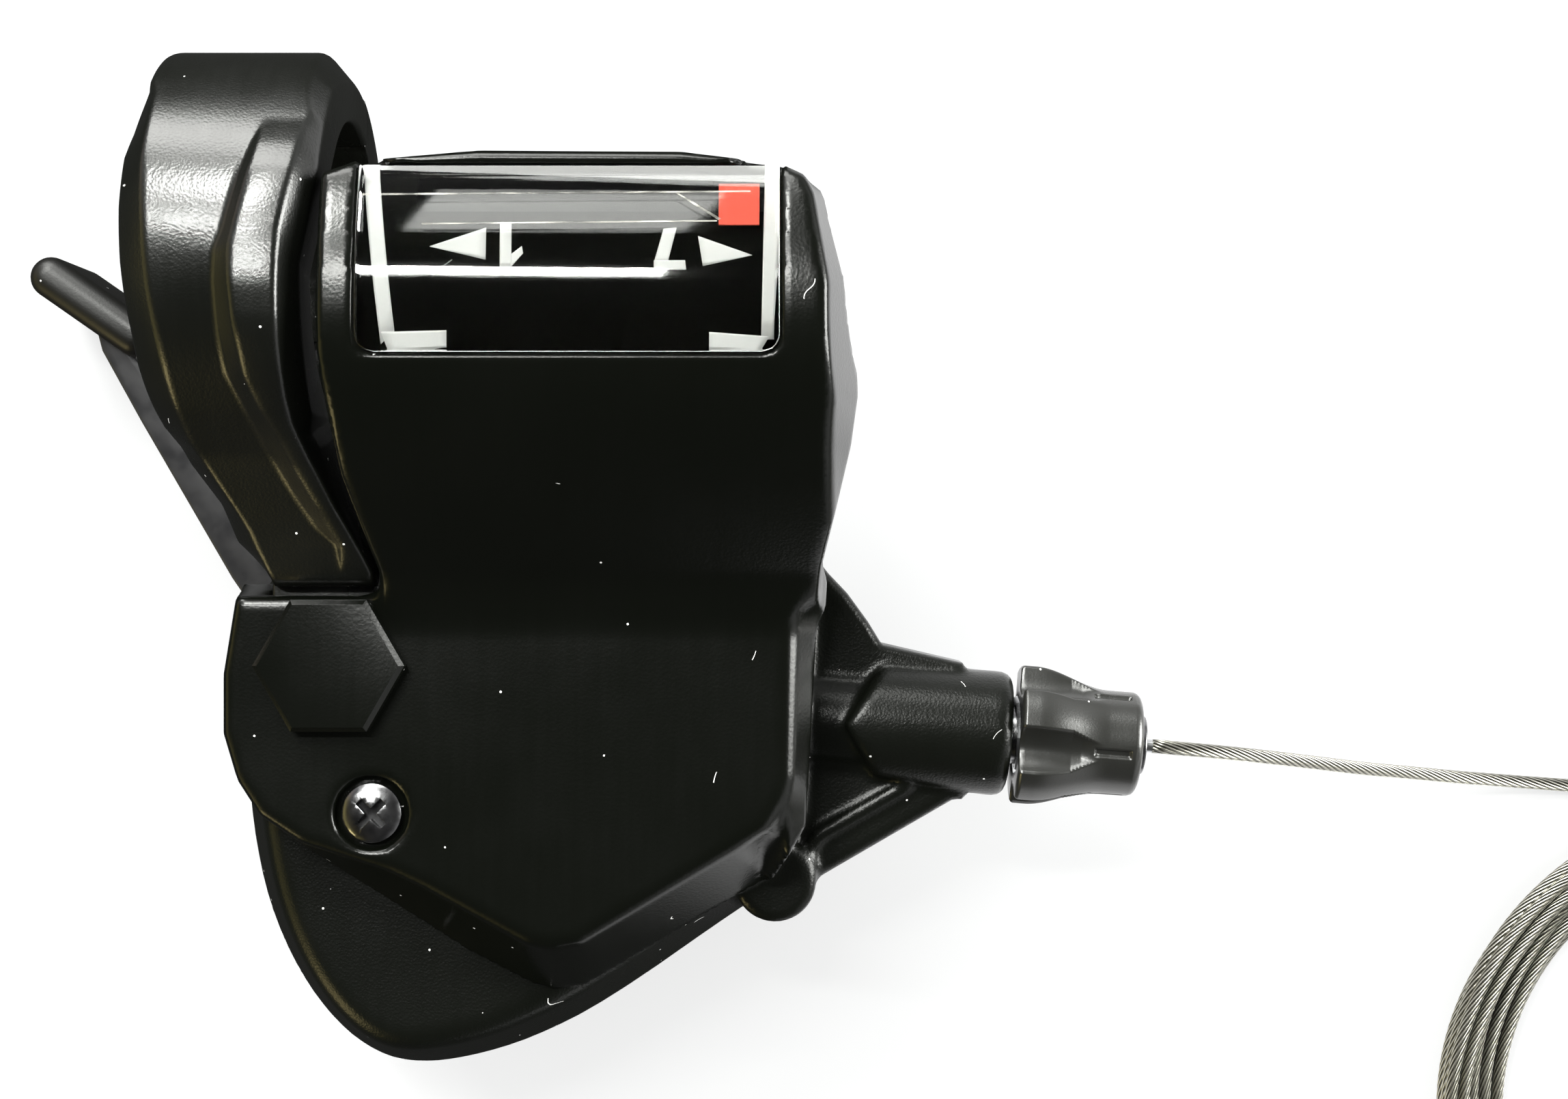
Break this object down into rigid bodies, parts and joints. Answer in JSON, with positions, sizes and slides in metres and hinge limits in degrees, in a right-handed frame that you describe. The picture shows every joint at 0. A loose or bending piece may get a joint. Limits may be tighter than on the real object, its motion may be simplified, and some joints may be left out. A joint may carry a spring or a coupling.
{
  "type": "trigger shifter",
  "caption": "Right-hand handlebar trigger shifter with a clamp ring, an arched gear display, two thumb levers, a barrel adjuster and a coiled inner cable.",
  "frame": {"origin": "on the handlebar axis, in the middle plane of the clamp's bore", "axes": "+X along the handlebar towards the cable, +Y towards the rider, +Z out of the cover"},
  "size_m": [0.175, 0.1137, 0.046],
  "materials": {
    "ring_plastic": "satin moulded black plastic",
    "cover_plastic": "fine-grained satin black plastic",
    "housing_plastic": "coarse matte glass-filled black plastic",
    "clear_window": "clear glossy plastic",
    "dial_black": "gloss black with white marks",
    "indicator_orange": "orange-red plastic",
    "lever_plastic": "satin black plastic",
    "lever_steel": "black-coated pressed steel",
    "knob_plastic": "satin moulded black plastic",
    "black_chrome": "bright black chrome",
    "spool_plastic": "moulded nylon",
    "cable_steel": "stranded stainless steel",
    "zinc_steel": "zinc-plated steel"
  },
  "bodies": {
    "root": {"clamp_ring": "ring_plastic", "clamp_strap": "ring_plastic", "clamp_bolt": "zinc_steel", "clamp_nut": "zinc_steel", "bracket_bolt": "zinc_steel", "top_cover": "cover_plastic", "window_lens": "clear_window", "dial_plate": "dial_black", "hex_cap": "cover_plastic", "cover_screw": "black_chrome", "base_housing": "housing_plastic", "housing_screws": "black_chrome", "mechanism_plate": "zinc_steel", "bridge_plate": "zinc_steel", "main_axle": "zinc_steel", "axle_washer": "zinc_steel", "axle_nut": "zinc_steel", "bottom_cap": "housing_plastic", "spool_spring": "zinc_steel", "hold_pawl_pin": "zinc_steel", "hold_pawl_spring": "zinc_steel", "thumb_spring": "zinc_steel", "release_spring": "zinc_steel", "barrel_spring": "zinc_steel", "inner_cable": "cable_steel", "cable_run": "cable_steel", "cable_coil": "cable_steel"},
    "spool": {"cable_spool": "spool_plastic", "ratchet_wheel": "zinc_steel", "cable_head": "cable_steel"},
    "indicator": {"indicator": "indicator_orange"},
    "thumb": {"thumb_lever": "lever_steel", "thumb_pad": "lever_plastic", "drive_carrier": "zinc_steel", "drive_pawl_pin": "zinc_steel"},
    "drive_pawl": {"drive_pawl": "zinc_steel"},
    "hold_pawl": {"hold_pawl": "zinc_steel"},
    "release": {"release_lever": "lever_steel", "release_pad": "lever_plastic"},
    "barrel": {"barrel_knob": "knob_plastic", "barrel_core": "black_chrome"}
  },
  "joints": [
    {"name": "spool_turn", "type": "hinge", "parent": "root", "child": "spool", "pos_m": [0.0182, -0.0415, -0.0085], "axis": [0, 0, 1], "range_deg": [0, 120]},
    {"name": "indicator_slide", "type": "slide", "parent": "root", "child": "indicator", "axis": [1, 0, 0], "range_m": [-0.0204, 0]},
    {"name": "thumb_push", "type": "hinge", "parent": "root", "child": "thumb", "pos_m": [0.0182, -0.0415, -0.0085], "axis": [0, 0, 1], "range_deg": [0, 45], "stiffness_Nm_per_rad": 0.08, "springref_deg": -28.65},
    {"name": "drive_pawl_lift", "type": "hinge", "parent": "thumb", "child": "drive_pawl", "pos_m": [0.00551, -0.04742, -0.0127], "axis": [0, 0, 1], "range_deg": [-12, 0], "stiffness_Nm_per_rad": 0.002, "springref_deg": 28.65},
    {"name": "hold_pawl_lift", "type": "hinge", "parent": "root", "child": "hold_pawl", "pos_m": [0.02326, -0.02759, -0.0127], "axis": [0, 0, 1], "range_deg": [-10, 0], "stiffness_Nm_per_rad": 0.002, "springref_deg": 28.65},
    {"name": "release_push", "type": "hinge", "parent": "root", "child": "release", "pos_m": [0.0182, -0.0415, -0.0085], "axis": [0, 0, 1], "range_deg": [0, 18], "stiffness_Nm_per_rad": 0.05, "springref_deg": -28.65},
    {"name": "barrel_turn", "type": "hinge", "parent": "root", "child": "barrel", "pos_m": [0.05881, -0.03571, -0.0085], "axis": [0.9966, -0.0819, 0], "continuous": true}
  ],
  "couplings": [
    {"joint": "indicator_slide", "follows": "spool_turn", "m_per_rad": -0.0097403}
  ]
}
